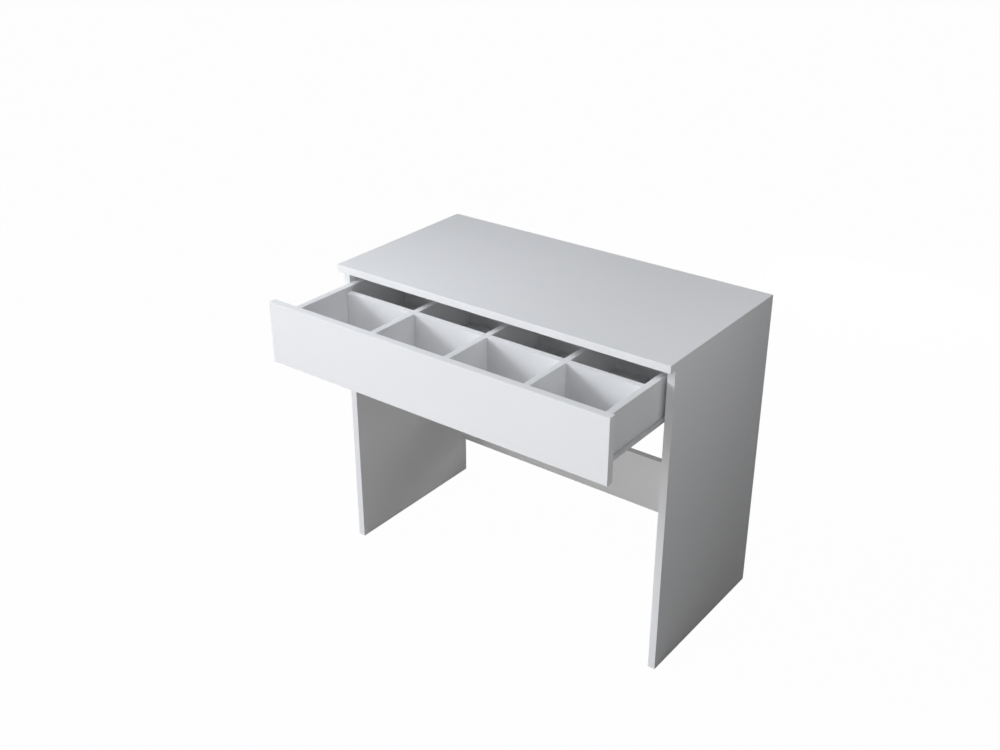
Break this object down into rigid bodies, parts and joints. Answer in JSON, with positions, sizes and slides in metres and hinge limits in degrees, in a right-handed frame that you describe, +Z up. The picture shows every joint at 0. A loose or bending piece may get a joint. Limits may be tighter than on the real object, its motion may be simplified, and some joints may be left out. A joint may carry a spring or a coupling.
{
  "type": "dressing table",
  "caption": "Plain white dressing table on slab sides, with an open back over a low rear rail and one wide handleless drawer divided into compartments on roller runners.",
  "frame": {"origin": "on the floor, under the middle of the whole outline with the drawer as it stands open", "axes": "+X to the right as one faces the drawer, +Y from the drawer front to the back, +Z up"},
  "size_m": [0.9, 0.67, 0.768],
  "materials": {
    "carcass_board": "white melamine-faced particle board, fine satin grain",
    "drawer_board": "white melamine-faced particle board, edged on all sides",
    "bottom_hardboard": "white lacquered hardboard",
    "runner_steel": "light grey powder-coated sheet steel",
    "fittings_steel": "zinc-plated",
    "roller_nylon": "white nylon",
    "dowel_beech": "bare beech"
  },
  "bodies": {
    "carcass": {"table_top": "carcass_board", "left_side_panel": "carcass_board", "right_side_panel": "carcass_board", "upper_rear_rail": "carcass_board", "lower_rear_rail": "carcass_board", "top_cam_bolts": "fittings_steel", "top_cam_locks": "fittings_steel", "top_dowels": "dowel_beech", "rail_cam_bolts": "fittings_steel", "rail_cam_locks": "fittings_steel", "rail_dowels": "dowel_beech", "left_cabinet_runner": "runner_steel", "right_cabinet_runner": "runner_steel", "cabinet_runner_screws": "fittings_steel", "cabinet_roller_pins": "fittings_steel"},
    "drawer": {"drawer_front": "drawer_board", "drawer_left_side": "drawer_board", "drawer_right_side": "drawer_board", "drawer_back": "drawer_board", "drawer_bottom": "bottom_hardboard", "long_divider": "drawer_board", "left_cross_divider": "drawer_board", "middle_cross_divider": "drawer_board", "right_cross_divider": "drawer_board", "front_cam_bolts": "fittings_steel", "front_cam_locks": "fittings_steel", "back_screws": "fittings_steel", "divider_dowels": "dowel_beech", "bottom_nails": "fittings_steel", "left_drawer_runner": "runner_steel", "right_drawer_runner": "runner_steel", "drawer_runner_screws": "fittings_steel", "drawer_roller_pins": "fittings_steel"},
    "left_front_roller": {"left_cabinet_roller": "roller_nylon"},
    "right_front_roller": {"right_cabinet_roller": "roller_nylon"},
    "left_rear_roller": {"left_drawer_roller": "roller_nylon"},
    "right_rear_roller": {"right_drawer_roller": "roller_nylon"}
  },
  "joints": [
    {"name": "drawer_slide", "type": "slide", "parent": "carcass", "child": "drawer", "axis": [0, -1, 0], "range_m": [-0.22, 0.06]},
    {"name": "left_front_roller_spin", "type": "hinge", "parent": "carcass", "child": "left_front_roller", "pos_m": [-0.4258, -0.063, 0.6244], "axis": [1, 0, 0], "continuous": true},
    {"name": "right_front_roller_spin", "type": "hinge", "parent": "carcass", "child": "right_front_roller", "pos_m": [0.4258, -0.063, 0.6244], "axis": [1, 0, 0], "continuous": true},
    {"name": "left_rear_roller_spin", "type": "hinge", "parent": "drawer", "child": "left_rear_roller", "pos_m": [-0.4282, 0.071, 0.6217], "axis": [1, 0, 0], "continuous": true},
    {"name": "right_rear_roller_spin", "type": "hinge", "parent": "drawer", "child": "right_rear_roller", "pos_m": [0.4282, 0.071, 0.6217], "axis": [1, 0, 0], "continuous": true}
  ],
  "couplings": [
    {"joint": "left_front_roller_spin", "follows": "drawer_slide", "rad_per_m": 117.65},
    {"joint": "right_front_roller_spin", "follows": "drawer_slide", "rad_per_m": 117.65},
    {"joint": "left_rear_roller_spin", "follows": "drawer_slide", "rad_per_m": 149.25},
    {"joint": "right_rear_roller_spin", "follows": "drawer_slide", "rad_per_m": 149.25}
  ]
}
